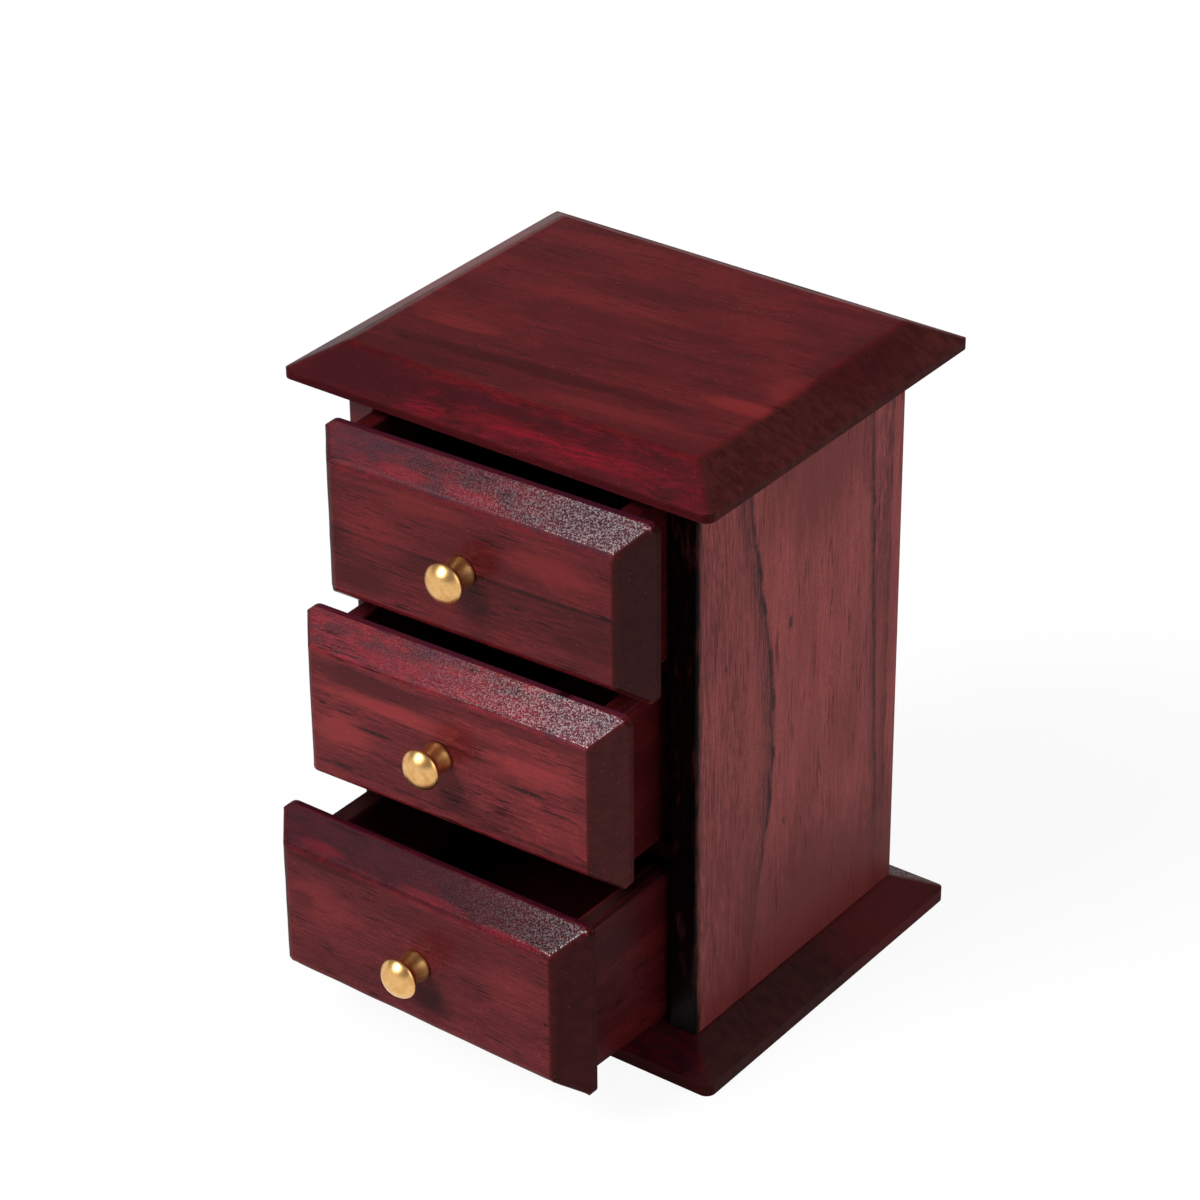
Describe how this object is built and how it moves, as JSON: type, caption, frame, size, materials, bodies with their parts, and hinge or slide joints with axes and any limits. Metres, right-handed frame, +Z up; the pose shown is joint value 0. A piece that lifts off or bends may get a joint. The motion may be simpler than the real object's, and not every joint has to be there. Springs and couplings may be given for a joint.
{
  "type": "desktop drawer chest",
  "caption": "Miniature wooden chest with bevelled overhanging top and base boards and a stack of loose sliding drawers with raised fronts and turned brass knobs.",
  "frame": {"origin": "under the middle of the carcass, on the flat underside of the base board", "axes": "+Z up, -Y out of the front with the drawers, +X to the right as seen from the front"},
  "size_m": [0.1182, 0.1447, 0.16],
  "materials": {
    "case_wood": "dark wine-red mahogany stain under satin varnish",
    "front_wood": "wine-red mahogany stain under satin varnish",
    "box_wood": "thinner red stain, planed",
    "divider_wood": "dark stain, planed",
    "back_ply": "stained thin plywood",
    "knob_brass": "polished, a little worn",
    "screw_steel": "zinc plated"
  },
  "bodies": {
    "carcass": {"top_board": "case_wood", "base_board": "case_wood", "left_side": "case_wood", "right_side": "case_wood", "back_panel": "back_ply", "lower_divider": "divider_wood", "upper_divider": "divider_wood"},
    "bottom_drawer": {"bottom_drawer_front": "front_wood", "bottom_drawer_left_side": "box_wood", "bottom_drawer_right_side": "box_wood", "bottom_drawer_back": "box_wood", "bottom_drawer_bottom": "box_wood", "bottom_knob": "knob_brass", "bottom_knob_screw": "screw_steel"},
    "middle_drawer": {"middle_drawer_front": "front_wood", "middle_drawer_left_side": "box_wood", "middle_drawer_right_side": "box_wood", "middle_drawer_back": "box_wood", "middle_drawer_bottom": "box_wood", "middle_knob": "knob_brass", "middle_knob_screw": "screw_steel"},
    "top_drawer": {"top_drawer_front": "front_wood", "top_drawer_left_side": "box_wood", "top_drawer_right_side": "box_wood", "top_drawer_back": "box_wood", "top_drawer_bottom": "box_wood", "top_knob": "knob_brass", "top_knob_screw": "screw_steel"}
  },
  "joints": [
    {"name": "bottom_drawer_slide", "type": "slide", "parent": "carcass", "child": "bottom_drawer", "axis": [0, -1, 0], "range_m": [-0.03253, 0.0307]},
    {"name": "middle_drawer_slide", "type": "slide", "parent": "carcass", "child": "middle_drawer", "axis": [0, -1, 0], "range_m": [-0.01734, 0.0453]},
    {"name": "top_drawer_slide", "type": "slide", "parent": "carcass", "child": "top_drawer", "axis": [0, -1, 0], "range_m": [-0.01059, 0.0518]}
  ]
}
